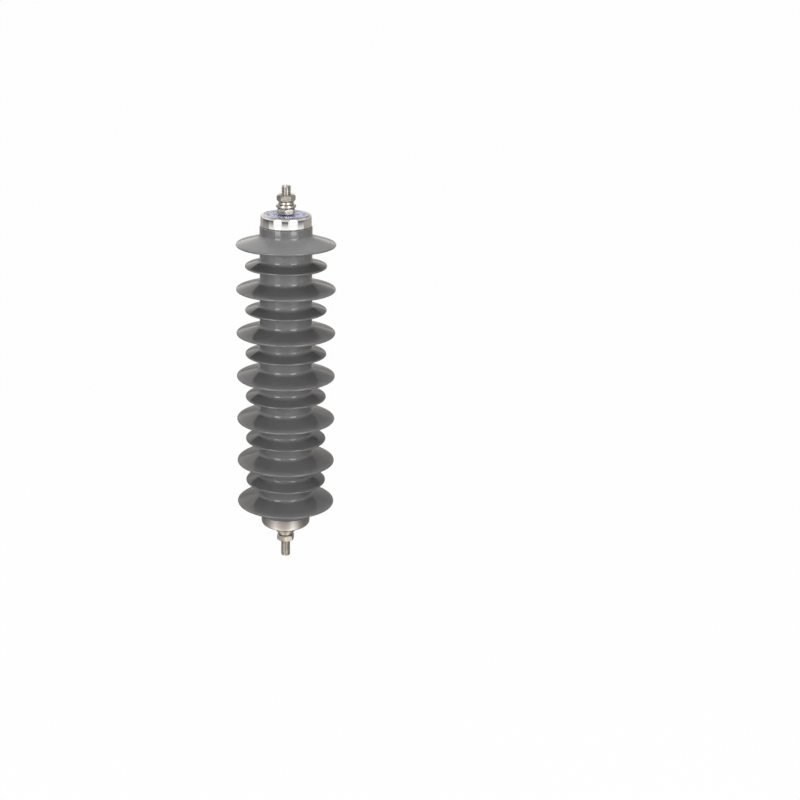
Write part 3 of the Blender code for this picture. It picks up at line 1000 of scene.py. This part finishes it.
class ARRESTER_OT_stage(bpy.types.Operator):
    """Set up the floor, world, lamps, cards and camera"""

    bl_idname = "arrester.stage"
    bl_label = "Stage"

    def execute(self, context):
        sizes = context.scene.arrester.stage
        scene = context.scene
        scene.view_settings.view_transform = "Standard"
        studio_world(sizes)

        shape = bmesh.new()
        bmesh.ops.create_circle(shape, cap_ends=True, radius=FLOOR_RADIUS, segments=96)
        floor = placed("floor", shape, floor_material(sizes))
        floor.location.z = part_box("earth_stud")[0].z - sizes.floor_gap

        for name, turned_by in (("right_lamp", sizes.right_heading), ("left_lamp", -sizes.left_heading)):
            heading = FRONT_HEADING + turned_by
            place = (sizes.key_distance * math.cos(heading), sizes.key_distance * math.sin(heading),
                     sizes.key_height)
            lamp(name, place, (0, 0, sizes.key_height), 0.45, 0.55, sizes.key_power, "ELLIPSE")
        lamp("top_lamp", (0, -0.05, 1.35), (0, 0, 0.16), 0.4, 0.4, sizes.top_power)

        low = floor.location.z + 0.001
        for side, start in (("left", -48), ("right", 22)):
            end = start + STRIPE_WIDTH_DEG
            card(f"{side}_low_stripe", start, end, 0, 0.185, [(0.0, 0.6), (0.15, 0.9)], STRIPE_REACH,
                 strength=LOW_STRIPE_GLOW)
            card(f"{side}_high_stripe", start, end, 0.25, 0.85, [(0.2, 1.0), (0.9, 1.0)], STRIPE_REACH,
                 strength=sizes.stripe_glow)
        card("front_card", -19, 10, low, CARD_TOP, BAND_SOFT)
        card("right_card", 53, 86, low, CARD_TOP, BAND_SOFT, strength=1.15)
        card("far_right_card", 86, 124, low, LOW_CARD_TOP, BAND_SIDE, warmth=0.06)
        card("left_card", -82, -57, low, CARD_TOP, BAND_SOFT, strength=1.2)
        card("far_left_card", -126, -82, low, CARD_TOP, BAND_DEEP)
        card("table_card", -57, 54, low, TABLE_TOP, [(0.0, 0.95), (0.3, 0.95)], TABLE_REACH)
        card("back_card", 124, 234, low, LOW_CARD_TOP, [(0.0, 0.33), (0.39, 0.33)], warmth=0.06)

        camera = bpy.data.cameras.new("camera")
        camera.lens = sizes.lens
        camera.sensor_width = 36
        camera.shift_x = sizes.shift_x
        camera.shift_y = sizes.shift_y
        item = bpy.data.objects.new("camera", camera)
        item.location = (0, -sizes.distance, sizes.height)
        tilt = Matrix.Rotation(math.pi / 2 - sizes.pitch, 4, "X") @ Matrix.Rotation(sizes.roll, 4, "Z")
        item.rotation_euler = tilt.to_euler()
        scene.collection.objects.link(item)
        scene.camera = item
        return {"FINISHED"}


class ARRESTER_PT_look(bpy.types.Panel):
    """Lists the operators and their settings"""

    bl_idname = "ARRESTER_PT_look"
    bl_label = "Surge arrester"
    bl_space_type = "VIEW_3D"
    bl_region_type = "UI"
    bl_category = "Arrester"

    def draw(self, context):
        settings = context.scene.arrester
        for operator, group in STEPS:
            box = self.layout.box()
            box.operator(operator.bl_idname)
            if group is None:
                continue
            values = getattr(settings, group)
            for name in values.bl_rna.properties.keys():
                if name not in {"rna_type", "name"}:
                    box.prop(values, name)


STEPS = (
    (ARRESTER_OT_housing, "housing"),
    (ARRESTER_OT_caps, "cap"),
    (ARRESTER_OT_plate, "plate"),
    (ARRESTER_OT_studs, "fastener"),
    (ARRESTER_OT_nuts, None),
    (ARRESTER_OT_washers, None),
    (ARRESTER_OT_inside, "inside"),
    (ARRESTER_OT_stage, "stage"),
)
GROUPS = (HousingSettings, CapSettings, PlateSettings, FastenerSettings, InsideSettings, StageSettings,
          ArresterSettings)


def register():
    """Register the settings, operators and panel."""
    for item in (*GROUPS, *(operator for operator, _ in STEPS), ARRESTER_PT_look):
        bpy.utils.register_class(item)
    bpy.types.Scene.arrester = PointerProperty(type=ArresterSettings)


def unregister():
    """Take the settings, operators and panel away again."""
    del bpy.types.Scene.arrester
    for item in reversed((*GROUPS, *(operator for operator, _ in STEPS), ARRESTER_PT_look)):
        bpy.utils.unregister_class(item)


def main():
    """Build every piece and the stage."""
    register()
    for operator, _ in STEPS:
        group, name = operator.bl_idname.split(".")
        getattr(getattr(bpy.ops, group), name)()


if __name__ == "__main__":
    main()
